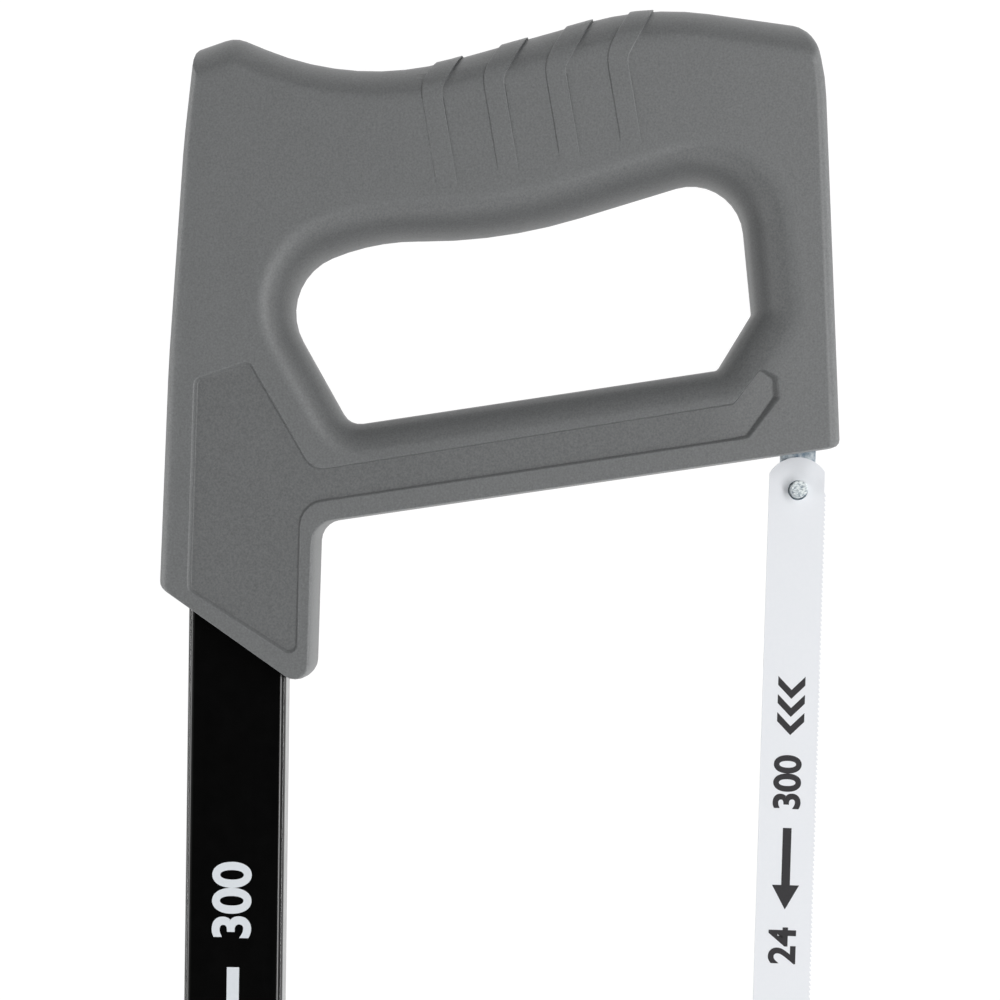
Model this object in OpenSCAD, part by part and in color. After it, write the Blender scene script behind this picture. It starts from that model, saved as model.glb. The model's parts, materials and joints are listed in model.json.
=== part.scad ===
// Hacksaw: a closed cast handle in two halves, a rectangular frame tube, a cast nose and a tensioned blade.
// Saw coordinates: the rear blade pin stands at the origin, +X runs forward along the blade, +Y points
// the way the teeth face, and Z = 0 is the plane in which the handle's halves meet. The saw lies on its side.

/* [Blade] */
// Distance between the blade's two pin holes
blade_holes = 300; // [250:1:350]
// Width of the blade over the tooth tips
blade_w = 12.7; // [11:0.1:14]
// Thickness of the blade
blade_t = 0.65; // [0.5:0.05:0.9]
// Radius of the blade's round ends
blade_end_r = 7.2; // [6.4:0.1:7.6]
// Distance of the round ends' centres past the pin holes
blade_end_past = 0.1; // [0:0.1:1.5]
// Diameter of the blade's pin holes
blade_hole_d = 4.4; // [4.2:0.1:5]
// Distance between tooth tips, for 24 teeth in 25.4 mm
tooth_pitch = 1.058; // [0.8:0.001:1.8]
// Height of the teeth
tooth_h = 0.5; // [0.3:0.05:0.8]

/* [Blade holders] */
// Width of the square bars that carry the blade
bar_w = 7.6; // [7:0.1:9]
// Diameter of the blade pins
pin_d = 3.7; // [3.2:0.1:4]
// Height of the blade pins above the blade
pin_h = 3; // [2:0.1:4]
// Outward lean of the blade pins, in degrees
pin_lean = 6; // [0:0.5:8]
// Distance from each pin to the step where its bar becomes full height
bar_step = 9.4; // [8:0.1:9.5]
// Length of each flat tongue past its pin, under the blade
tongue_end = 6; // [4:0.1:8]
// Distance from the rear pin to the buried end of the rear bar
rear_bar_l = 34; // [30:0.5:36]
// Slack that the front bar can be run back by, with the blade unhooked
slack = 3; // [2:0.5:4]

/* [Frame tube] */
// Height of the frame tube, in the plane of the saw
tube_h = 21.5; // [19:0.5:24]
// Depth of the frame tube, across the saw
tube_d = 12.7; // [11:0.1:15]
// Wall of the frame tube
tube_wall = 1.5; // [1:0.1:2.5]
// Radius of the frame tube's corners
tube_r = 1.6; // [1:0.1:2.5]
// Distance from the blade's centre line to the tube's axis, at the rear pin
tube_reach = 122.7; // [115:0.1:130]
// Angle at which the tube closes on the blade towards the nose, in degrees
tube_lean = 1.06; // [0:0.01:1.5]
// Distance that the tube runs behind the rear pin, inside the handle
tube_behind = 15; // [10:1:20]
// Distance that the tube runs past the front pin, inside the nose
tube_ahead = 16; // [10:1:18]

/* [Handle] */
// Thickness of the handle over its flat sides
handle_t = 27; // [25:0.5:30]
// Distance from the rear pin to the corner of the grip's back
grip_back = 105.6; // [100:0.1:112]
// Depth of the grip between its back and the finger opening
grip_depth = 35.3; // [32:0.1:38]
// Distance that the grip leans forward towards the tube
grip_lean = 20; // [16:0.1:22]
// Depth of the tang between the back strap and the finger opening
tang_depth = 21.2; // [19:0.1:24]
// Depth of the toe between the handle's edge past the blade and the finger opening
toe_depth = 23; // [21:0.1:25]
// Distance of the handle's back strap from the tube's axis
strap_out = 16.2; // [15:0.1:19]
// Distance that the handle stands past the blade's centre line
toe_out = 7.7; // [7:0.1:10]
// Length of the foot along the tube, from the rear pin
foot_l = 48; // [44:0.1:54]
// Distance of the foot's inner side from the tube's axis
foot_in = 17.8; // [16:0.1:20]
// Rounding of the grip's edges: width, seen from the side
grip_round_w = 9; // [6:0.5:11]
// Rounding of the grip's edges: depth, across the handle
grip_round_h = 13; // [9:0.5:13]
// Rounding of the handle's back strap
edge_round = 3; // [2:0.5:4]
// Draft of the foot's inner side, from the middle plane to the handle's sides
edge_draft = 1.2; // [0.5:0.1:2]
// Draft of the foot's front end and the arm's front edge
end_draft = 0.4; // [0.2:0.1:1.5]
// Rounding of the handle's edge on the teeth side
toe_round = 2.6; // [1:0.1:3]
// Rounding of the finger opening's edges: width, seen from the side
hole_round_w = 7.5; // [5:0.5:8]
// Rounding of the finger opening's edges: depth, across the handle
hole_round_h = 9; // [6:0.5:12]
// Thickness of the handle's side walls over its hollow
shell_wall = 3.5; // [2.5:0.5:5]
// Thickness of the handle's rim round its hollow
shell_rim = 7; // [6:0.5:8]

/* [Side panels] */
// Width of the border between the back strap and the sunk panel
panel_border = 6.4; // [5.5:0.1:8]
// Depth of the sunk panels
panel_depth = 0.8; // [0.4:0.1:1.5]
// Depth of the handle's panel at its end near the blade, where its floor curves down
panel_depth_toe = 1.8; // [1.6:0.1:2.5]
// Slope of the panels' sides, as a share of the slopes in their corner lists
panel_slope = 1; // [0.5:0.05:1.2]

/* [Grip ridges] */
// Number of ridges on the grip
ridge_count = 4; // [2:1:4]
// Width of each ridge
ridge_w = 4.4; // [3:0.1:6]
// Height of each ridge
ridge_h = 0.4; // [0.2:0.1:0.6]
// Distance from ridge to ridge along the grip
ridge_pitch = 13.3; // [11:0.1:14]

/* [Nose] */
// Distance from the front pin to the nose's front face
nose_front = 26; // [24:0.5:30]
// Distance from the front pin to the nose's rear edge at the blade
nose_rear = 9.5; // [9.2:0.1:11]
// Length of the nose's foot behind the front pin, along the tube
nose_foot = 42; // [36:0.5:48]
// Distance of the nose's back from the tube's axis
nose_out = 16.2; // [15:0.1:20]
// Width of the border round the nose's sunk panel
nose_border = 8; // [6:0.1:10]
// Rounding of the nose's edges
nose_round = 4; // [2:0.5:5]

/* [Tension knob] */
// Span of the knob's wings
wing_span = 32; // [26:1:36]
// Thickness of the wings
wing_t = 6; // [4:0.5:8]
// Diameter of the knob's hub
hub_d = 17; // [15:0.5:19]
// Length of the knob
knob_l = 20; // [18:0.5:24]
// Diameter of the front bar's threaded end
stud_d = 6; // [5:0.5:6.5]
// Thickness of the thrust washer
washer_t = 1.6; // [1:0.1:2.5]

/* [Screws and pins] */
// Diameter of the screws and cross pins
screw_d = 4; // [3:0.1:4.5]
// Diameter of the screw heads
screw_head_d = 7.2; // [6:0.1:8]
// Height of the screw heads
screw_head_h = 2.6; // [2:0.1:3]
// Depth to which the heads are sunk below the handle's side
screw_sunk = 0.6; // [0.3:0.1:1]

/* [Clearances] */
// Gap round each sliding or seated piece
fit_gap = 0.1; // [0.05:0.01:0.15]
// Gap round each pin, screw and stud in its bore
bore_gap = 0.04; // [0.02:0.01:0.08]

/* [Hidden] */
$fn = 48;
cast_grey = "#6c6e6e";
zinc = "#c3c9d0";

// Distance that cutters run past the faces they open
past = 1;
half_t = handle_t / 2;
half_all = half_t + ridge_h;
front_x = blade_holes;
nose_x = front_x + nose_front;
knob_x = nose_x + washer_t + bore_gap;
strap_y = -tube_reach - strap_out;
grip_x = -grip_back;
hole_x = grip_x + grip_depth;
nut_flats = stud_d + 4;
nut_h = 5;

// Y of the tube's axis at a place along the saw
function tube_y(x) = -tube_reach + tan(tube_lean) * x;

// Corners of the handle's outline, anticlockwise: [x, y, radius, edge rounding width, depth],
// where the rounding is that of the edge that leads to the next corner
handle_corners = [
    [grip_x + grip_lean - 6.9, strap_y + 4, 1, edge_round, edge_round],
    [-71, strap_y + 2.3, 130, edge_round, edge_round],
    [-23, strap_y + 0.5, 220, edge_round, edge_round],
    [foot_l - 22.5, strap_y + 0.1, 2.6, end_draft, half_t],
    [foot_l, -tube_reach + foot_in, 3.8, edge_draft, half_t],
    [10.5, -tube_reach + foot_in, 4.6, end_draft, half_t],
    [-9.5, toe_out, 1.8, toe_round, edge_round],
    [grip_x + 16, toe_out - 5.6, 44, toe_round, edge_round],
    [grip_x + 3.9, toe_out - 8.8, 5.6, grip_round_w, grip_round_h],
    [grip_x + 0.1, -36.6, 65, grip_round_w, grip_round_h],
    [grip_x + grip_lean, strap_y + 39.1, 62, grip_round_w, grip_round_h],
    [grip_x + grip_lean - 10.1, strap_y + 12.3, 6.6, grip_round_w, grip_round_h]];

// Corners of the finger opening, in the same form
opening_corners = [
    [-41.8, strap_y + tang_depth, 13, hole_round_w, hole_round_h],
    [-11, strap_y + tang_depth + 18.5, 4.6, hole_round_w + 1, hole_round_h],
    [-25.7, toe_out - toe_depth - 3.2, 2, hole_round_w + 3, hole_round_h],
    [-38.5, toe_out - toe_depth + 4.1, 1.3, hole_round_w + 3, hole_round_h],
    [hole_x, toe_out - toe_depth, 11.4, grip_round_w, grip_round_h],
    [hole_x + grip_lean - 2.5, -66.7, 118, grip_round_w, grip_round_h],
    [hole_x + grip_lean - 1.7, strap_y + tang_depth + 22.3, 49, grip_round_w, grip_round_h]];

// Corners of the sunk panel on each side of the handle: [x, y, radius, slope], where the slope is
// the width of the side that leads to the next corner, for each millimetre of depth
panel_corners = [
    [-19.9, strap_y + panel_border, 1.8, 0.95],
    [foot_l - 22.3, strap_y + panel_border, 1.8, 0.95],
    [foot_l - 7.8, -tube_reach + foot_in - 3.4, 1.8, 0.6],
    [6.6, -tube_reach + foot_in - 3.6, 5.3, 0.6],
    [-10.8, toe_out - 20, 0.9, 0.75],
    [-19.9, toe_out - 13.4, 0.4, 0.9],
    [-24.1, toe_out - 13.8, 0.4, 0.65],
    [-26.5, toe_out - 17.9, 0.7, 0.25],
    [-18.3, toe_out - 23.5, 1.3, 0.4],
    [-1, strap_y + panel_border + 26.3, 4, 0.55],
    [-24.3, strap_y + panel_border + 11.8, 1.8, 0.85]];

// Depths of the handle's panel along Y: level as far as the scoop at its end near the blade
scoop_y = [toe_out - 32, toe_out - 13.4];
panel_floor = [for (t = [0 : 0.125 : 1]) [scoop_y[0] + (scoop_y[1] - scoop_y[0]) * t,
    panel_depth + (panel_depth_toe - panel_depth) * t * t]];

// Corners of the nose's outline, in the form of the handle's
nose_corners = [
    [front_x - nose_foot + 21, tube_y(front_x) - nose_out, 3, nose_round, nose_round],
    [nose_x, tube_y(front_x) - nose_out, 16, nose_round, nose_round],
    [nose_x, toe_out, 5, nose_round, nose_round],
    [front_x + nose_rear, toe_out, 2.5, nose_round, nose_round],
    [front_x - 4, tube_y(front_x) + foot_in, 6, nose_round, nose_round],
    [front_x - nose_foot, tube_y(front_x) + foot_in - 0.6, 4, nose_round, nose_round]];

// Corners of the sunk panel on each side of the nose, in the same form
nose_panel_corners = [
    [front_x - nose_foot + 25, tube_y(front_x) - nose_out + nose_border, 1.8, 0.9],
    [nose_x - nose_border, tube_y(front_x) - nose_out + nose_border, 9, 0.9],
    [nose_x - nose_border, -22, 2, 0.9],
    [front_x + nose_rear + 5, -14, 1.5, 0.9],
    [front_x + nose_rear + 1, -20, 1.5, 0.9],
    [front_x + 4.5, tube_y(front_x) + foot_in - 6.5, 5, 0.9],
    [front_x - nose_foot + 8.5, tube_y(front_x) + foot_in - 6.5, 2, 0.9]];

// Depths below a flat side at which the rounded edges are drawn
edge_depths = [9.5, 6.3, 3.8, 2.1, 0.9, 0.25, 0];

// Places of the handle's screws: tube, tube, holder, arm, grip's corner, tang
tube_screw_x = [-6, 18];
holder_screw_x = -24;
screw_places = [
    [tube_screw_x[0], tube_y(tube_screw_x[0])],
    [tube_screw_x[1], tube_y(tube_screw_x[1])],
    [holder_screw_x, 0],
    [-7.5, -62],
    [grip_x + 18, toe_out - 16.5],
    [grip_x + grip_lean + 3, strap_y + tang_depth - 6.3]];
nose_pin_x = [front_x - 17, front_x + 8];

function xy(c) = [c[0], c[1]];
function cross2(u, v) = u[0] * v[1] - u[1] * v[0];
function next(c, i) = c[(i + 1) % len(c)];
function last(c, i) = c[(i + len(c) - 1) % len(c)];
function heading(a, b) = (xy(b) - xy(a)) / norm(xy(b) - xy(a));

// Width by which a rounded edge of corner c draws back at a depth below the flat side
function drawn_in(c, depth) =
    depth >= c[4] ? 0 : c[3] * (1 - sqrt(1 - pow(1 - max(depth, 0) / c[4], 2)));

// Arc of points at corner i, with the edges before and after it moved inwards
function corner_arc(c, i, before, after) =
    let (u = heading(last(c, i), c[i]), v = heading(c[i], next(c, i)))
    let (turn = atan2(cross2(u, v), u * v), side = sign(turn))
    let (steps = max(1, ceil(abs(turn) * sqrt(c[i][2]) / 40)))
    let (p = xy(c[i]) + (before * v - after * u) / cross2(u, v))
    let (r = max(0.4, c[i][2] - side * (before + after) / 2))
    let (centre = p - u * r * tan(abs(turn) / 2) + side * r * [-u[1], u[0]])
    [for (k = [0 : steps]) let (a = atan2(u[1], u[0]) + turn * k / steps)
        centre - side * r * [-sin(a), cos(a)]];

// Outline through corners c, each edge i moved inwards by inset[i]
function ring(c, inset) =
    [for (i = [0 : len(c) - 1]) each corner_arc(c, i, last(inset, i), inset[i])];
function even_ring(c, inset) = ring(c, [for (k = c) inset]);

// Lowest and highest places of the whole saw, from its outlines
handle_ring = even_ring(handle_corners, 0);
low_x = min([for (p = handle_ring) p[0]]) - ridge_h;
high_x = knob_x + knob_l;
low_y = min([for (p = handle_ring) p[1]]);
high_y = max(wing_span / 2, max([for (p = handle_ring) p[1]]));
centre = [(low_x + high_x) / 2, (low_y + high_y) / 2, -half_all];

// Draws a piece in its colour, with the saw's centre over the origin and its side on the ground
module placed(paint) {
    color(paint) translate(-centre) children();
}

// Closed skin through rings of points, lowest first, each with as many points as the next
module skin(rings) {
    n = len(rings[0]);
    top = len(rings) - 1;
    polyhedron([for (r = rings) each r], concat(
        [[for (i = [0 : n - 1]) i], [for (i = [n - 1 : -1 : 0]) top * n + i]],
        [for (k = [0 : top - 1], i = [0 : n - 1]) let (j = (i + 1) % n)
            [k * n + i, (k + 1) * n + i, (k + 1) * n + j, k * n + j]]));
}

function lift(points, z) = [for (p = points) [p[0], p[1], z]];
function rounded_ring(c, depth, grow) = ring(c, [for (k = c) drawn_in(k, depth) - grow]);

// Half of a casting: from the middle plane up to its flat side, with rounded edges
module half_casting(corners, height, grow = 0) {
    skin([lift(rounded_ring(corners, height, grow), 0),
        for (d = edge_depths) if (d < height) lift(rounded_ring(corners, d, grow), height + grow - d)]);
}

// Cutter for an opening through a half casting, flared by its rounded edges
module flared_opening(corners, height) {
    function flare(depth) = ring(corners, [for (k = corners) -drawn_in(k, depth)]);
    skin([lift(flare(height), -past),
        for (d = edge_depths) if (d < height) lift(flare(d), height - d),
        lift(flare(0), height + past)]);
}

// Cutter for a sunk panel with sloped sides, whose floor follows the depths along Y in a list of [y, depth]
module panel_cutter(corners, height, floor_depths) {
    deepest = max([for (f = floor_depths) f[1]]) + 0.2;
    ends = [min([for (c = corners) c[1]]) - past, max([for (c = corners) c[1]]) + past];
    bottoms = [for (f = floor_depths) f[1]];
    left = min([for (c = corners) c[0]]) - past;
    function widened(depth) = ring(corners, [for (k = corners) panel_slope * k[3] * depth]);
    intersection() {
        skin([lift(widened(deepest), height - deepest), lift(widened(-past), height + past)]);
        translate([left, 0, height]) rotate([90, 0, 90])
            linear_extrude(max([for (c = corners) c[0]]) + past - left)
                polygon([[ends[0], 2 * past], [ends[0], -bottoms[0]], for (f = floor_depths) [f[0], -f[1]],
                    [ends[1], -bottoms[len(bottoms) - 1]], [ends[1], 2 * past]]);
    }
}

// Points of a bend at p, which begins and ends at a distance from it along two directions
function bend(p, from, to) =
    [for (t = [0 : 0.25 : 1]) (1 - t) * (1 - t) * (p + from) + 2 * t * (1 - t) * p + t * t * (p + to)];

// Ridges that run up the side of the grip and over its back, each with a bent knee and a sloped foot
module grip_ridges() {
    knee_rise = 2.65;
    foot_rise = 0.85;
    up = [-1, 0.49];
    down = [1, 0.2];
    outer_bend = 3;
    inner_bend = 1.3;
    foot_slope = 10;
    for (k = [0 : ridge_count - 1]) {
        knee = [grip_x + 12.6 + (3 - k) * knee_rise, -45.75 - (3 - k) * ridge_pitch];
        inner_knee = knee + 0.8 * down + [0, ridge_w];
        low_end = knee + (19.9 + (3 - k) * foot_rise) * down;
        difference() {
            intersection() {
                half_casting(handle_corners, half_t, ridge_h);
                linear_extrude(half_all + past)
                    polygon([low_end, low_end + [0, ridge_w], each bend(inner_knee, inner_bend * down, inner_bend * up),
                        inner_knee + 20 * up, knee + 20 * up, each bend(knee, outer_bend * up, outer_bend * down)]);
            }
            translate([low_end[0], low_end[1] - ridge_w, half_t - 0.05]) rotate([0, foot_slope, 0])
                translate([-ridge_pitch, 0, 0]) cube([ridge_pitch + past, ridge_pitch, 2 * past]);
        }
    }
}

// Space for the frame tube inside a casting, between two places along the tube
module tube_space(from_x, to_x) {
    translate([0, -tube_reach, 0]) rotate(tube_lean)
        translate([from_x, -tube_h / 2 - fit_gap, -tube_d / 2 - fit_gap])
            cube([to_x - from_x, tube_h + 2 * fit_gap, tube_d + 2 * fit_gap]);
}

// Hollow of the handle's grip and tang, round its screws
module grip_hollow() {
    pad_r = screw_d + 2.5;
    arm_x = -50;
    foot_x = -22;
    linear_extrude(half_t - shell_wall) difference() {
        polygon(even_ring(handle_corners, shell_rim));
        polygon(even_ring(opening_corners, -shell_rim));
        translate([arm_x, strap_y + 36]) square(grip_back + tube_reach);
        translate([foot_x, strap_y]) square(grip_back + tube_reach);
        for (p = screw_places) translate(p) circle(pad_r, $fn = 24);
    }
}

// One half of the handle above the middle plane, before it is drilled
module half_shell() {
    resize([0, 0, 0]) difference() {
        union() {
            half_casting(handle_corners, half_t);
            grip_ridges();
        }
        flared_opening(opening_corners, half_t);
        panel_cutter(panel_corners, half_t, panel_floor);
        translate([0, 0, -past]) grip_hollow();
        tube_space(-tube_behind - fit_gap, foot_l + past);
        translate([-rear_bar_l - fit_gap, -bar_w / 2 - fit_gap, -bar_w / 2 - fit_gap])
            cube([rear_bar_l, bar_w + 2 * fit_gap, bar_w + 2 * fit_gap]);
    }
}

// Depth of the screws' blind holes above the middle plane
screw_top = half_t - 4.5;

module handle_front_shell() {
    placed(cast_grey) difference() {
        half_shell();
        for (p = screw_places) translate([p[0], p[1], -past])
            cylinder(h = screw_top + past + bore_gap, d = screw_d + 2 * bore_gap);
    }
}

module handle_back_shell() {
    seat = -half_t + screw_sunk + screw_head_h;
    placed(cast_grey) difference() {
        mirror([0, 0, 1]) half_shell();
        for (p = screw_places) translate(p) {
            translate([0, 0, -half_t - past]) cylinder(h = half_t + 2 * past, d = screw_d + 2 * bore_gap);
            translate([0, 0, -half_t - past]) cylinder(h = seat + half_t + past, d = screw_head_d + 2 * fit_gap);
        }
    }
}

// Pan head screw with a cross recess, entered from the back half
module handle_screw(number) {
    recess = [screw_head_d * 0.6, 1.1, 1.4];
    bottom = -half_t + screw_sunk;
    placed(zinc) translate(screw_places[number - 1]) difference() {
        union() {
            translate([0, 0, bottom]) cylinder(h = screw_head_h, d = screw_head_d);
            translate([0, 0, bottom]) cylinder(h = screw_top - bottom, d = screw_d);
        }
        for (a = [0, 90]) rotate(a)
            translate([-recess[0] / 2, -recess[1] / 2, bottom - past]) cube(recess + [0, 0, past]);
    }
}

// Flat outline of a bar with round corners, centred
module round_bar_outline(w, t, r) {
    square([w - 2 * r, t], center = true);
    square([w, t - 2 * r], center = true);
    for (x = [-1, 1], y = [-1, 1]) translate([x * (w / 2 - r), y * (t / 2 - r)]) circle(r);
}

module frame_tube() {
    length = front_x + tube_ahead + tube_behind;
    inner_r = max(tube_r - tube_wall, 0.3);
    placed("#0d0d0e") difference() {
        translate([0, -tube_reach, 0]) rotate(tube_lean) translate([-tube_behind, 0, 0])
            rotate([90, 0, 90]) linear_extrude(length) difference() {
                round_bar_outline(tube_h, tube_d, tube_r);
                round_bar_outline(tube_h - 2 * tube_wall, tube_d - 2 * tube_wall, inner_r);
            }
        for (x = concat(tube_screw_x, nose_pin_x)) translate([x, tube_y(x), -tube_d])
            cylinder(h = 2 * tube_d, d = screw_d + 2 * bore_gap);
    }
}

module nose() {
    bar_hole = bar_w + 2 * fit_gap;
    placed(cast_grey) difference() {
        resize([0, 0, 0]) difference() {
            for (side = [0, 1]) mirror([0, 0, side]) difference() {
                half_casting(nose_corners, half_all);
                panel_cutter(nose_panel_corners, half_all, [[strap_y / 2, panel_depth]]);
            }
            tube_space(front_x - nose_foot - past, front_x + tube_ahead + fit_gap);
            translate([front_x, -bar_hole / 2, -bar_hole / 2]) cube([nose_front + past, bar_hole, bar_hole]);
        }
        for (x = nose_pin_x) translate([x, tube_y(x), -half_all - past])
            cylinder(h = half_all + past + screw_top + bore_gap, d = screw_d + 2 * bore_gap);
    }
}

// Plain pin through the nose and the tube, entered from the back
module nose_pin(x) {
    placed(zinc) translate([x, tube_y(x), -half_all + screw_sunk])
        cylinder(h = half_all - screw_sunk + screw_top, d = screw_d);
}

// Blade with raked teeth along its +Y edge, which cut on the forward stroke
module blade() {
    edge_y = blade_w / 2;
    root_y = edge_y - tooth_h;
    count = floor(blade_holes / tooth_pitch);
    first_x = (blade_holes - count * tooth_pitch) / 2;
    end_x = blade_holes + blade_end_past + blade_end_r + past;
    tooth_lean = 0.85;
    round_ends = [-blade_end_past, blade_holes + blade_end_past];
    placed("#ebedf0") translate([0, 0, -blade_t / 2]) difference() {
        linear_extrude(blade_t) difference() {
            intersection() {
                translate([-end_x, -edge_y]) square([2 * end_x, 2 * blade_w]);
                union() {
                    for (x = round_ends) translate([x, 0]) circle(blade_end_r, $fn = 96);
                    translate([round_ends[0], -blade_w]) square([round_ends[1] - round_ends[0], 2 * blade_w]);
                }
            }
            polygon([[-end_x, root_y], for (k = [0 : count - 1])
                each [[first_x + k * tooth_pitch, root_y],
                    [first_x + (k + tooth_lean) * tooth_pitch, edge_y]],
                [first_x + count * tooth_pitch, root_y], [end_x, root_y], [end_x, 3 * blade_w],
                [-end_x, 3 * blade_w]]);
        }
        for (x = [0, blade_holes]) translate([x, 0, -past]) cylinder(h = blade_t + 2 * past, d = blade_hole_d);
    }
}

// Square bar cut down to a flat tongue under the blade, with the pin's hole; its pin is at the origin
// and its full height runs towards -X
module blade_bar(length) {
    difference() {
        union() {
            translate([-length, -bar_w / 2, -bar_w / 2])
                cube([length + tongue_end, bar_w, bar_w / 2 - blade_t / 2]);
            translate([-length, -bar_w / 2, -bar_w / 2]) cube([length - bar_step, bar_w, bar_w]);
        }
        pin_shape(pin_d + 2 * bore_gap, bar_w);
    }
}

// Leaning pin through the tongue, from its underside to a height above the blade
module pin_shape(d, height) {
    chamfer = 0.15;
    intersection() {
        rotate([0, -pin_lean, 0]) translate([0, 0, -bar_w]) {
            cylinder(h = bar_w + height - chamfer, d = d);
            translate([0, 0, bar_w + height - chamfer]) cylinder(h = chamfer, d1 = d, d2 = d - 2 * chamfer);
        }
        translate([-bar_w, -bar_w, -bar_w / 2]) cube([2 * bar_w, 2 * bar_w, 2 * bar_w + height]);
    }
}

module rear_blade_holder() {
    placed(zinc) difference() {
        blade_bar(rear_bar_l);
        translate([holder_screw_x, 0, -bar_w]) cylinder(h = 2 * bar_w, d = screw_d + 2 * bore_gap);
    }
}

module rear_blade_pin() {
    placed(zinc) pin_shape(pin_d, blade_t / 2 + pin_h);
}

// Turns a piece made for the rear pin round to the front pin
module at_front_pin() {
    translate([front_x, 0, 0]) mirror([1, 0, 0]) children();
}

module front_blade_holder() {
    shoulder = nose_front - 1.5;
    end_room = 5;
    stud_l = nose_front - shoulder + washer_t + nut_h + slack + end_room;
    placed(zinc) at_front_pin() {
        blade_bar(shoulder);
        translate([-shoulder, 0, 0]) rotate([0, -90, 0]) cylinder(h = stud_l, d = stud_d);
    }
}

module front_blade_pin() {
    placed(zinc) at_front_pin() pin_shape(pin_d, blade_t / 2 + pin_h);
}

// Black moulded knob with two swept wings that lie in the plane of the saw
module tension_knob() {
    tip_r = 3.5;
    root_x = 5;
    bore_l = knob_l - 4;
    placed("#17181a") translate([knob_x, 0, 0]) difference() {
        union() {
            rotate([0, 90, 0]) cylinder(h = knob_l - 4, d = hub_d);
            translate([knob_l - 4, 0, 0]) rotate([0, 90, 0]) cylinder(h = 1.5, d1 = hub_d, d2 = hub_d - 3);
            for (side = [0, 1]) mirror([0, side, 0]) translate([0, 0, -wing_t / 2])
                linear_extrude(wing_t) {
                    translate([knob_l - tip_r, wing_span / 2 - tip_r]) circle(tip_r);
                    polygon([[root_x, 0], [root_x, hub_d / 2 - 0.5],
                        [knob_l - 2 * tip_r, wing_span / 2 - tip_r], [knob_l, wing_span / 2 - tip_r],
                        [knob_l - 5, 0]]);
                }
        }
        translate([-past, 0, 0]) rotate([0, 90, 0])
            cylinder(h = nut_h + fit_gap + past, d = (nut_flats + 2 * fit_gap) / cos(30), $fn = 6);
        translate([-past, 0, 0]) rotate([0, 90, 0]) cylinder(h = bore_l + past, d = stud_d + 4 * fit_gap);
    }
}

module knob_nut() {
    placed(zinc) translate([knob_x, 0, 0]) rotate([0, 90, 0]) difference() {
        cylinder(h = nut_h, d = nut_flats / cos(30), $fn = 6);
        translate([0, 0, -past]) cylinder(h = nut_h + 2 * past, d = stud_d + 2 * bore_gap);
    }
}

module thrust_washer() {
    placed(zinc) translate([nose_x, 0, 0]) rotate([0, 90, 0]) difference() {
        cylinder(h = washer_t, d = hub_d - 1);
        translate([0, 0, -past]) cylinder(h = washer_t + 2 * past, d = stud_d + 4 * fit_gap);
    }
}

handle_front_shell();
handle_back_shell();
handle_screw(1);  // handle_screw_1
handle_screw(2);  // handle_screw_2
handle_screw(3);  // handle_screw_3
handle_screw(4);  // handle_screw_4
handle_screw(5);  // handle_screw_5
handle_screw(6);  // handle_screw_6
frame_tube();
nose();
nose_pin(nose_pin_x[0]);  // nose_pin_rear
nose_pin(nose_pin_x[1]);  // nose_pin_front
rear_blade_holder();
rear_blade_pin();
blade();
front_blade_holder();
front_blade_pin();
tension_knob();
knob_nut();
thrust_washer();
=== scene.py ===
import json
import math
import bpy
from mathutils import Matrix, Vector

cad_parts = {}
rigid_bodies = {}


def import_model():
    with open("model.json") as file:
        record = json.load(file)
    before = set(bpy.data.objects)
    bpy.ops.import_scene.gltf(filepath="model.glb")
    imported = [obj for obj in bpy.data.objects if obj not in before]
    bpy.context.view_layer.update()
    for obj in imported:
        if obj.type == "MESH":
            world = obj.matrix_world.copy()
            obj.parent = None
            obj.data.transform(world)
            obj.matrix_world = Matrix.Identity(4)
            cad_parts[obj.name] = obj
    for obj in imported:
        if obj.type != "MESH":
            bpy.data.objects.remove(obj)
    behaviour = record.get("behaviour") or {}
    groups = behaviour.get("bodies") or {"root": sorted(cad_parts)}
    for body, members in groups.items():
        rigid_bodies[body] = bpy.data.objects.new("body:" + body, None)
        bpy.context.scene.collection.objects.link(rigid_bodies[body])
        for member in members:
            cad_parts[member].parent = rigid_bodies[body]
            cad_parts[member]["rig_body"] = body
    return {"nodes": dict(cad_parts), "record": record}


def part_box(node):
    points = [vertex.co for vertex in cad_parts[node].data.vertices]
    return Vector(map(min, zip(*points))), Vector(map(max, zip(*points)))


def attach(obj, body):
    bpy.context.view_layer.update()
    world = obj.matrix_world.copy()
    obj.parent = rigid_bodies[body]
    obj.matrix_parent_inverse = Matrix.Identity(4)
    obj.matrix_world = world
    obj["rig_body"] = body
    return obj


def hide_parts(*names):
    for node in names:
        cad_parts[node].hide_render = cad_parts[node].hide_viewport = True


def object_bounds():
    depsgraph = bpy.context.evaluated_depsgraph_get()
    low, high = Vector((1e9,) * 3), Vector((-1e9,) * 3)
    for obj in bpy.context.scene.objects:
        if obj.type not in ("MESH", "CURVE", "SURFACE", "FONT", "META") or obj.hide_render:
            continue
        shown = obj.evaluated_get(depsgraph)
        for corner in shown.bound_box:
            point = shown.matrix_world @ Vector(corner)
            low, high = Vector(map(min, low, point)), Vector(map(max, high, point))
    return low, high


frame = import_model()
cadBox = [list(corner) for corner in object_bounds()]
mm = 0.001

# places taken from the frame: the blade's line, the saw's middle plane and the pin at the handle
bladeLow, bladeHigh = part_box("blade")
bladeLine = (bladeLow.y + bladeHigh.y) / 2
midPlane = (bladeLow.z + bladeHigh.z) / 2
rearPin = sum(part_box("rear_blade_pin"), Vector()) / 2
print("frame loaded:", len(frame["nodes"]), "nodes")


# selecting, editing and finishing meshes

def deselectAll():
    bpy.ops.object.select_all(action="DESELECT")


def pick(piece):
    deselectAll()
    piece.select_set(True)
    bpy.context.view_layer.objects.active = piece


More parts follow.
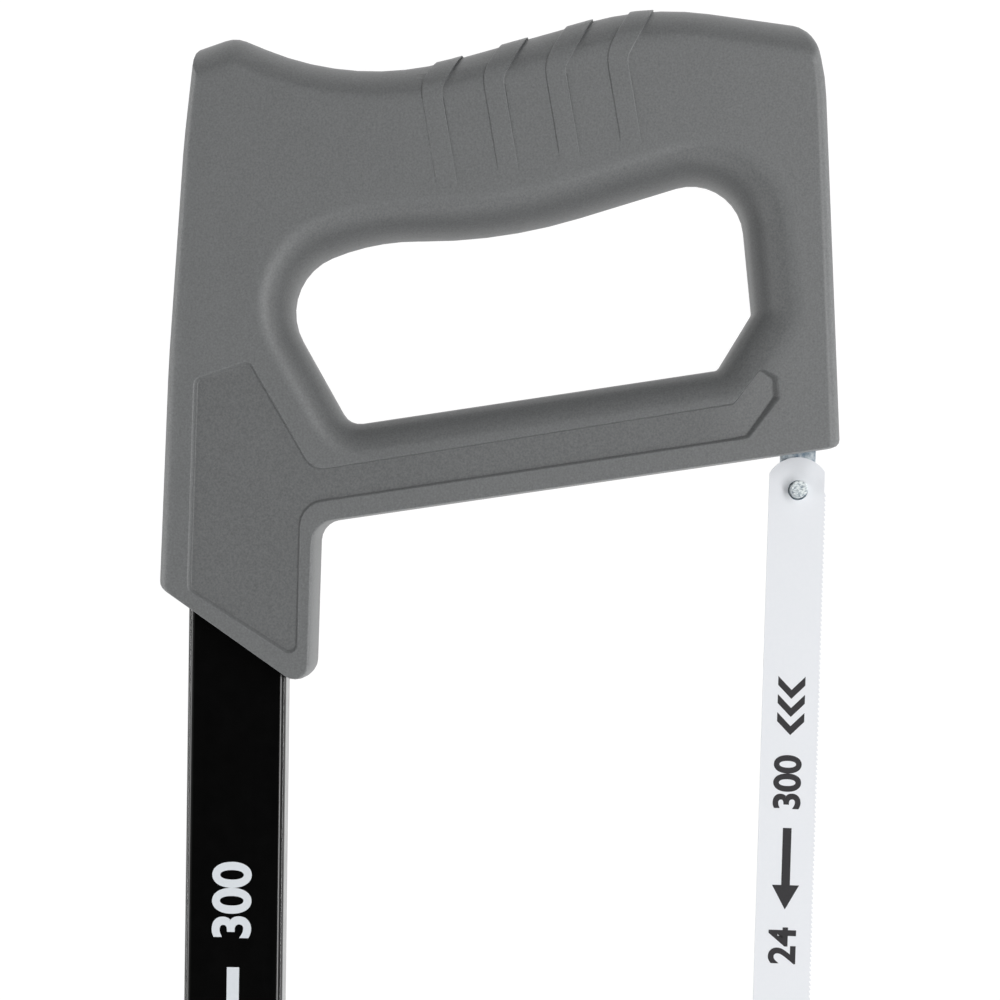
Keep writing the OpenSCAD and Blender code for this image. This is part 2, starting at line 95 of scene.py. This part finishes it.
def editAll(piece):  # into edit mode with the whole mesh selected
    pick(piece)
    bpy.ops.object.mode_set(mode="EDIT")
    bpy.ops.mesh.select_all(action="SELECT")


def leaveEdit():
    bpy.ops.object.mode_set(mode="OBJECT")


def useModifier(piece, kind, **settings):  # adds a modifier, sets it and applies it
    pick(piece)
    modifier = piece.modifiers.new(kind.title(), kind)
    for key, value in settings.items():
        setattr(modifier, key, value)
    bpy.ops.object.modifier_apply(modifier=modifier.name)


def smoothShade(piece, angle):
    pick(piece)
    bpy.ops.object.shade_smooth_by_angle(angle=math.radians(angle))


def settle(piece, name, body, material, slot, *replaced):  # place into the mesh, then onto its body
    pick(piece)
    bpy.ops.object.transform_apply(location=True, rotation=True, scale=True)
    piece.name = name
    piece.data.name = name
    piece.data.materials.clear()
    piece.data.materials.append(material)
    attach(piece, body)
    if replaced:
        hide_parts(*replaced)
    return piece


# shader expressions

class Wire:  # a socket that can be used in sums
    def __init__(self, tree, socket=None):
        self.tree = tree
        self.socket = socket

    def node(self, kind, sockets, out=0, **settings):
        made = self.tree.nodes.new(kind)
        for key, value in settings.items():
            setattr(made, key, value)
        for key, value in sockets.items():
            if isinstance(value, Wire):
                self.tree.links.new(value.socket, made.inputs[key])
            else:
                made.inputs[key].default_value = value
        return Wire(self.tree, made.outputs[out] if made.outputs else None)

    def maths(self, operation, *values):
        return self.node("ShaderNodeMath", dict(enumerate(values)), operation=operation)

    def __add__(self, other):
        return self.maths("ADD", self, other)

    def __sub__(self, other):
        return self.maths("SUBTRACT", self, other)

    def __rsub__(self, other):
        return self.maths("SUBTRACT", other, self)

    def __mul__(self, other):
        return self.maths("MULTIPLY", self, other)

    __radd__ = __add__
    __rmul__ = __mul__

    def clamped(self, low, high):  # 0 below low, 1 above high
        return self.node("ShaderNodeMapRange", {"Value": self, "From Min": low, "From Max": high},
                         clamp=True)

    def noise(self, size, detail, roughness=0.5):  # grains of about that size in mm
        return self.node("ShaderNodeTexNoise", {"Vector": self, "Scale": 1 / (size * mm), "Detail": detail,
                                                "Roughness": roughness})

    def part(self, axis):
        return self.node("ShaderNodeSeparateXYZ", {"Vector": self}, out=axis)

    def stretched(self, x, y, z):
        return self.node("ShaderNodeMapping", {"Vector": self, "Scale": (x, y, z)})

    def blend(self, first, second):  # first where this value is 0, second where it is 1
        return self.node("ShaderNodeMix", {0: self, 6: first, 7: second}, out=2, data_type="RGBA")

    def bump(self, depth, strength):  # depth in mm
        return self.node("ShaderNodeBump", {"Height": self, "Distance": depth * mm, "Strength": strength})


def newMaterial(name):
    material = bpy.data.materials.new(name)
    material.use_nodes = True
    material.node_tree.nodes.clear()
    return material, Wire(material.node_tree).node("ShaderNodeTexCoord", {}, out="Object")


def finishMaterial(material, place, **sockets):  # Base_Color stands for the socket Base Color
    named = {key.replace("_", " "): value for key, value in sockets.items()}
    surface = place.node("ShaderNodeBsdfPrincipled", named)
    place.node("ShaderNodeOutputMaterial", {"Surface": surface})
    return material


def grey(tone):
    return (tone, tone, tone, 1)


# finishes: each noise has a size in mm, detail and roughness, each bump a depth in mm and strength
powder = {
    "tones": ((0.088, 0.091, 0.092, 1), (0.174, 0.180, 0.182, 1)),
    "speck": (0.42, 2, 0.6), "peel": (1.1, 1), "cloud": (12, 3), "bump": (0.03, 0.5),
    "speckEnds": (0.25, 0.75), "peelHeight": 1.6, "roughness": 0.5, "uneven": 0.1,
    "speckShare": 0.7, "sideShare": 0.2, "cloudShare": 0.1,  # how much each pales the coat
    "sides": (12.9, 13.3),  # mm off the middle plane, where the flat sides are
    "coat": 0.35, "coatRoughness": 0.42,
}


def powderCoat():  # grey, finely speckled, and a little paler on the flat sides
    material, place = newMaterial("powder_coat")
    speck = place.noise(*powder["speck"])
    cloud = place.noise(*powder["cloud"])
    offMiddle = place.part(2) - midPlane
    low, high = powder["sides"]
    side = offMiddle.maths("ABSOLUTE", offMiddle).clamped(low * mm, high * mm)
    pale = speck.clamped(*powder["speckEnds"]) * powder["speckShare"]
    pale = pale + side * powder["sideShare"] + cloud * powder["cloudShare"]
    height = speck + place.noise(*powder["peel"]) * powder["peelHeight"]
    return finishMaterial(material, place, Base_Color=pale.blend(*powder["tones"]),
                          Roughness=powder["roughness"] + cloud * powder["uneven"],
                          Normal=height.bump(*powder["bump"]),
                          Coat_Weight=powder["coat"], Coat_Roughness=powder["coatRoughness"])


tubeEnamel = {
    "tones": (grey(0.0008), grey(0.0014)), "flow": (4, 2), "streak": (1.2, 2), "bump": (0.006, 0.4),
    "stretch": (0.1, 1, 1), "streakHeight": 0.3, "roughness": 0.14, "uneven": 0.08,
}


def blackEnamel():  # with faint streaks along the tube
    material, place = newMaterial("black_enamel")
    flow = place.noise(*tubeEnamel["flow"])
    streak = place.stretched(*tubeEnamel["stretch"]).noise(*tubeEnamel["streak"])
    height = flow + streak * tubeEnamel["streakHeight"]
    return finishMaterial(material, place, Base_Color=streak.blend(*tubeEnamel["tones"]),
                          Roughness=tubeEnamel["roughness"] + flow * tubeEnamel["uneven"],
                          Normal=height.bump(*tubeEnamel["bump"]))


bladeEnamel = {
    "tones": ((0.80, 0.82, 0.855, 1), (0.83, 0.845, 0.875, 1)),
    "flow": (6, 2), "grain": (0.7, 2), "bump": (0.008, 0.4), "roughness": 0.32, "uneven": 0.08,
}


def whiteEnamel():
    material, place = newMaterial("white_enamel")
    flow = place.noise(*bladeEnamel["flow"])
    grain = place.noise(*bladeEnamel["grain"])
    return finishMaterial(material, place, Base_Color=grain.blend(*bladeEnamel["tones"]),
                          Roughness=bladeEnamel["roughness"] + flow * bladeEnamel["uneven"],
                          Normal=flow.bump(*bladeEnamel["bump"]))


zinc = {
    "tones": ((0.22, 0.29, 0.36, 1), (0.68, 0.73, 0.76, 1)), "toneEnds": (0.35, 0.65),
    "cloud": (1.4, 3, 0.6), "grain": (0.3, 2), "bump": (0.02, 0.6), "roughness": 0.34, "uneven": 0.2,
}


def zincPlate():
    material, place = newMaterial("zinc_plate")
    cloud = place.noise(*zinc["cloud"])
    grain = place.noise(*zinc["grain"])
    return finishMaterial(material, place, Base_Color=cloud.clamped(*zinc["toneEnds"]).blend(*zinc["tones"]),
                          Metallic=1.0, Roughness=zinc["roughness"] + grain * zinc["uneven"],
                          Normal=(grain + cloud).bump(*zinc["bump"]))


sheared = {
    "tones": ((0.26, 0.32, 0.37, 1), (0.84, 0.88, 0.88, 1)), "toneEnds": (0.36, 0.56), "metallic": 0.8,
    "torn": (0.45, 3, 0.7), "fine": (0.2, 2), "bump": (0.22, 0.8), "stretch": (1, 0.6, 1),
    "fineHeight": 0.1, "roughness": 0.55, "uneven": 0.2,
}


def shearedZinc():  # plated over a sheared end, with torn marks across it
    material, place = newMaterial("sheared_zinc")
    torn = place.stretched(*sheared["stretch"]).noise(*sheared["torn"])
    fine = place.noise(*sheared["fine"])
    height = torn + fine * sheared["fineHeight"]
    return finishMaterial(material, place, Metallic=sheared["metallic"],
                          Base_Color=torn.clamped(*sheared["toneEnds"]).blend(*sheared["tones"]),
                          Roughness=sheared["roughness"] + fine * sheared["uneven"],
                          Normal=height.bump(*sheared["bump"]))


printed = {
    "black_ink": ((0.010, 0.009, 0.011, 1), (0.020, 0.018, 0.022, 1)),
    "white_ink": ((0.66, 0.70, 0.74, 1), (0.72, 0.75, 0.78, 1)),
    "grain": (0.5, 2), "bump": (0.005, 0.4), "roughness": 0.45, "uneven": 0.15,
}


def printInk(name):  # a thin screen-printed film
    material, place = newMaterial(name)
    grain = place.noise(*printed["grain"])
    return finishMaterial(material, place, Base_Color=grain.blend(*printed[name]),
                          Roughness=printed["roughness"] + grain * printed["uneven"],
                          Normal=grain.bump(*printed["bump"]))


knobPlastic = {
    "tones": (grey(0.012), grey(0.02)),
    "grain": (0.5, 2), "bump": (0.02, 0.5), "roughness": 0.42, "uneven": 0.14,
}


def mouldedBlack():
    material, place = newMaterial("moulded_black")
    grain = place.noise(*knobPlastic["grain"])
    return finishMaterial(material, place, Base_Color=grain.blend(*knobPlastic["tones"]),
                          Roughness=knobPlastic["roughness"] + grain * knobPlastic["uneven"],
                          Normal=grain.bump(*knobPlastic["bump"]))


finishes = {
    "cast_handle": powderCoat(), "tube_black": blackEnamel(), "blade_enamel": whiteEnamel(),
    "zinc": zincPlate(), "knob_plastic": mouldedBlack(), "sheared": shearedZinc(),
    "black_ink": printInk("black_ink"), "white_ink": printInk("white_ink"),
}
print("materials made:", len(finishes))


# pieces dressed from the frame's own solids
# lengths in mm and angles in degrees; what is closer, narrower or flatter than this is merged
cleaning = {"together": 0.002, "sliver": 0.02, "flat": 0.6, "quadBend": 8, "quadShape": 40}
rounding = {
    "steps": 2, "sharperThan": 30, "shadedBelow": 32, "plain": 0.12,
    "handle_front_shell": 0.18, "handle_back_shell": 0.18, "nose": 0.2, "frame_tube": 0.15,
    "rear_blade_holder": 0.25, "front_blade_holder": 0.25, "rear_blade_pin": 0.1, "front_blade_pin": 0.1,
    "blade": 0, "tension_knob": 0.6, "knob_nut": 0.3, "thrust_washer": 0.25,
}
ownFinish = {"rear_blade_pin": "sheared", "front_blade_pin": "sheared"}  # the others have their slot's


def cleanCopy(nodeName):  # the node's mesh again, merged into plain faces
    mesh = frame["nodes"][nodeName].data.copy()
    piece = bpy.data.objects.new(nodeName + "_dressed", mesh)
    bpy.context.scene.collection.objects.link(piece)
    editAll(piece)
    bpy.ops.mesh.customdata_custom_splitnormals_clear()
    bpy.ops.mesh.remove_doubles(threshold=cleaning["together"] * mm)
    bpy.ops.mesh.dissolve_degenerate(threshold=cleaning["sliver"] * mm)
    bpy.ops.mesh.dissolve_limited(angle_limit=math.radians(cleaning["flat"]))
    bpy.ops.mesh.tris_convert_to_quads(face_threshold=math.radians(cleaning["quadBend"]),
                                       shape_threshold=math.radians(cleaning["quadShape"]))
    leaveEdit()
    return piece


def dress(nodeName, slot):
    piece = cleanCopy(nodeName)
    width = rounding.get(nodeName, rounding["plain"])
    if width:
        useModifier(piece, "BEVEL", width=width * mm, segments=rounding["steps"], limit_method="ANGLE",
                    angle_limit=math.radians(rounding["sharperThan"]), use_clamp_overlap=False)
    smoothShade(piece, rounding["shadedBelow"])
    useModifier(piece, "WEIGHTED_NORMAL", keep_sharp=True)
    body = frame["nodes"][nodeName]["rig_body"]
    finish = finishes[ownFinish.get(nodeName, slot)]
    return settle(piece, nodeName + "_dressed", body, finish, slot, nodeName)


for subpart in frame["record"]["subparts"]:
    dress(subpart["node"], subpart["material_slot"])
print("pieces dressed")


# plain printed marks: numbers, chevrons and arrows on the blade and the tube
# sizes, and places along the saw from the rear pin, in mm; parts of a mark as shares of its size
marks = {
    "film": 0.02, "above": 0.008, "together": 0.00001, "bold": 0.03, "numberSize": 1.35,
    "arrowHead": 0.5, "arrowShaft": 0.16, "arrowLength": 0.9, "chevronHalf": 0.5, "chevronThick": 0.33,
    "blade": {"size": 6.0, "number": [("24", 100.5), ("300", 64.5)], "arrow": (92.5, 74.5),
              "chevrons": (51, 47, 43)},
    "tube": {"size": 8.4, "number": [("300", 93.5)], "arrow": (150, 108), "chevrons": ()},
}


def flatStrip(name, back, front, half):  # in edit mode, to be shaped and then made a film
    deselectAll()
    bpy.ops.mesh.primitive_plane_add(size=1, location=((back + front) / 2, 0, 0))
    piece = bpy.context.object
    piece.name = name
    piece.scale = (front - back, 2 * half, 1)
    bpy.ops.object.transform_apply(location=True, rotation=True, scale=True)
    editAll(piece)
    return piece


def cutAcross(point, normal, trim=False):  # the cut stays selected; trim takes off what lies past it
    bpy.ops.mesh.select_all(action="SELECT")
    bpy.ops.mesh.bisect(plane_co=(*point, 0), plane_no=(*normal, 0), clear_outer=trim,
                        threshold=cleaning["together"] * mm)


def makeFilm(piece):  # as thick as a coat of ink
    leaveEdit()
    useModifier(piece, "SOLIDIFY", thickness=marks["film"] * mm, offset=0)
    return piece


def numberMark(text, x, size):
    bpy.ops.object.text_add(location=(x * mm, 0, 0), rotation=(0, 0, math.pi))
    piece = bpy.context.object
    words = piece.data
    words.body = text
    words.align_x = "CENTER"
    words.align_y = "CENTER"
    words.offset = marks["bold"]
    words.extrude = marks["film"] / 2 / size
    piece.scale = (size * mm * marks["numberSize"],) * 3
    pick(piece)
    bpy.ops.object.convert(target="MESH")
    bpy.ops.object.transform_apply(location=True, rotation=True, scale=True)
    return piece


def arrowMark(tip, tail, size):  # points forward, to where the blade cuts
    head, shaft = size * marks["arrowHead"] * mm, size * marks["arrowShaft"] * mm
    tip, tail = tip * mm, tail * mm
    neck = tip - size * marks["arrowLength"] * mm
    piece = flatStrip("arrow", tail, tip, head)
    cutAcross((neck, 0), (1, 0))
    for side in (-1, 1):
        cutAcross((tip, 0), (head, side * (tip - neck)), trim=True)  # the head's slanted side
        cutAcross((0, side * shaft), (0, 1))
    bpy.ops.mesh.select_all(action="DESELECT")
    leaveEdit()
    for corner in piece.data.vertices:  # the strip's two back corners, beside the shaft
        corner.select = corner.co.x < neck - shaft and abs(corner.co.y) > (head + shaft) / 2
    bpy.ops.object.mode_set(mode="EDIT")
    bpy.ops.mesh.delete(type="VERT")
    return makeFilm(piece)


def chevronMark(x, size):
    half, thick = size * marks["chevronHalf"] * mm, size * marks["chevronThick"] * mm
    x = x * mm
    piece = flatStrip("chevron", x - thick, x, half)
    cutAcross((x, 0), (0, 1))
    bpy.ops.transform.translate(value=(half, 0, 0))
    return makeFilm(piece)


def joinMarks(name, pieces, place, turn, body, ink, slot):
    deselectAll()
    for piece in pieces:
        piece.select_set(True)
    bpy.context.view_layer.objects.active = pieces[0]
    bpy.ops.object.join()
    joined = bpy.context.object
    useModifier(joined, "WELD", merge_threshold=marks["together"] * mm)  # a digit's faces and its walls
    editAll(joined)
    bpy.ops.mesh.normals_make_consistent(inside=False)
    leaveEdit()
    joined.matrix_world = Matrix.Translation(place) @ turn
    return settle(joined, name, body, finishes[ink], slot)


def printMarks(name, nodeName, thickness, centre, lean, ink, slot):  # on both flat sides of a node
    plan = marks[name]
    size = plan["size"]
    surface = thickness / 2 + marks["above"] * mm
    body = frame["nodes"][nodeName]["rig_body"]
    for side, sign in (("front", 1), ("back", -1)):
        pieces = [numberMark(text, x, size) for text, x in plan["number"]]
        pieces.append(arrowMark(*plan["arrow"], size))
        pieces += [chevronMark(x, size) for x in plan["chevrons"]]
        flip = Matrix.Rotation(0 if sign > 0 else math.pi, 4, "X")
        place = Vector((rearPin.x, centre, midPlane + sign * surface))
        turn = Matrix.Rotation(lean, 4, "Z") @ flip
        joinMarks(f"{name}_marks_{side}", pieces, place, turn, body, ink, slot)


tubeLow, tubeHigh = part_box("frame_tube")
tubeHeight = 21.5 * mm  # across the tube; the rest of its box comes from its lean
tubeLean = math.atan((tubeHigh.y - tubeLow.y - tubeHeight) / (tubeHigh.x - tubeLow.x))
tubeLine = tubeLow.y + tubeHeight / 2 + (rearPin.x - tubeLow.x) * math.tan(tubeLean)
printMarks("blade", "blade", bladeHigh.z - bladeLow.z, bladeLine, 0, "black_ink", "blade_enamel")
printMarks("tube", "frame_tube", tubeHigh.z - tubeLow.z, tubeLine, tubeLean, "white_ink", "tube_black")
print("marks printed")


# floor, light and camera

# lamps: name, place, size and power; all of them look at the saw's middle
light = {
    "sky": 0.38, "zenith": 0.02, "darkFrom": 0.86, "darkTo": 0.95,  # the sky darkens overhead
    "leftDark": 0.5, "leftFrom": 0.4, "leftTo": 0.95,  # and to the left
    "lamps": [
        ("right", (-0.1, 0.87, 1.34), (1.6, 0.42), 17),
        ("left", (0.13, -1.35, 0.75), (0.6, 0.5), 4.5),
        ("front", (1.3, -0.1, 1.0), (1.2, 0.8), 6),
        ("right_low", (-0.1, 1.4, 0.035), (2.0, 0.05), 10),
        ("left_low", (-0.1, -1.4, 0.035), (2.0, 0.05), 10),
    ],
}
stage = {
    "floor": 6.0, "floorTone": 0.85, "floorGlow": 1.08, "glowShare": 0.92,
    "camera": (0.00416, -0.06562, 0.6),  # m forward of the rear pin, beside it, above the middle plane
    "turn": 91.8, "width": 0.22075, "sensor": 36, "nearest": 0.01,
}


def floorMaterial():
    material, place = newMaterial("floor_white")
    camera, glossy, through = [place.node("ShaderNodeLightPath", {}, out=f"Is {kind} Ray")
                               for kind in ("Camera", "Glossy", "Transmission")]
    seen = (camera + glossy + through).clamped(0, 1)
    matt = place.node("ShaderNodeBsdfDiffuse", {"Color": grey(stage["floorTone"])})
    glow = place.node("ShaderNodeEmission", {"Color": grey(1.0), "Strength": stage["floorGlow"]})
    both = place.node("ShaderNodeMixShader", {0: seen * stage["glowShare"], 1: matt, 2: glow})
    place.node("ShaderNodeOutputMaterial", {"Surface": both})
    return material


def makeStage():
    deselectAll()
    bpy.ops.mesh.primitive_plane_add(size=stage["floor"], location=(0, 0, cadBox[0][2]))
    floor = bpy.context.object
    floor.name = "floor"
    floor.data.materials.append(floorMaterial())


def makeLamp(name, place, aim, size, power):
    bpy.ops.object.light_add(type="AREA", location=place)
    lamp = bpy.context.object
    lamp.name = name
    lamp.data.shape = "RECTANGLE"
    lamp.data.size, lamp.data.size_y = size
    lamp.data.energy = power
    lamp.rotation_euler = (Vector(aim) - Vector(place)).to_track_quat("-Z", "Y").to_euler()


def makeLight():
    world = bpy.data.worlds.new("studio")
    world.use_nodes = True
    bpy.context.scene.world = world
    world.node_tree.nodes.clear()
    sky = Wire(world.node_tree).node("ShaderNodeTexCoord", {}, out="Generated")
    dark = sky.part(2).clamped(light["darkFrom"], light["darkTo"])
    left = (0 - sky.part(1)).clamped(light["leftFrom"], light["leftTo"])
    strength = (light["sky"] - dark * (light["sky"] - light["zenith"])) * (1 - left * light["leftDark"])
    seen = sky.node("ShaderNodeLightPath", {}, out="Is Camera Ray")
    strength = strength * (1 - seen) + seen  # the camera itself sees white
    background = sky.node("ShaderNodeBackground", {"Color": grey(1.0), "Strength": strength})
    sky.node("ShaderNodeOutputWorld", {"Surface": background})
    for name, place, size, power in light["lamps"]:
        makeLamp(name, place, (0, 0, 0), size, power)


def makeCamera():
    forward, aside, above = stage["camera"]
    bpy.ops.object.camera_add(location=(rearPin.x + forward, rearPin.y + aside, midPlane + above),
                              rotation=(0, 0, math.radians(stage["turn"])))
    camera = bpy.context.object
    camera.data.sensor_width = stage["sensor"]
    camera.data.lens = stage["sensor"] * above / stage["width"]
    camera.data.clip_start = stage["nearest"]
    bpy.context.scene.camera = camera


makeStage()
makeLight()
makeCamera()
bpy.context.scene.view_settings.view_transform = "Standard"
print("stage set")
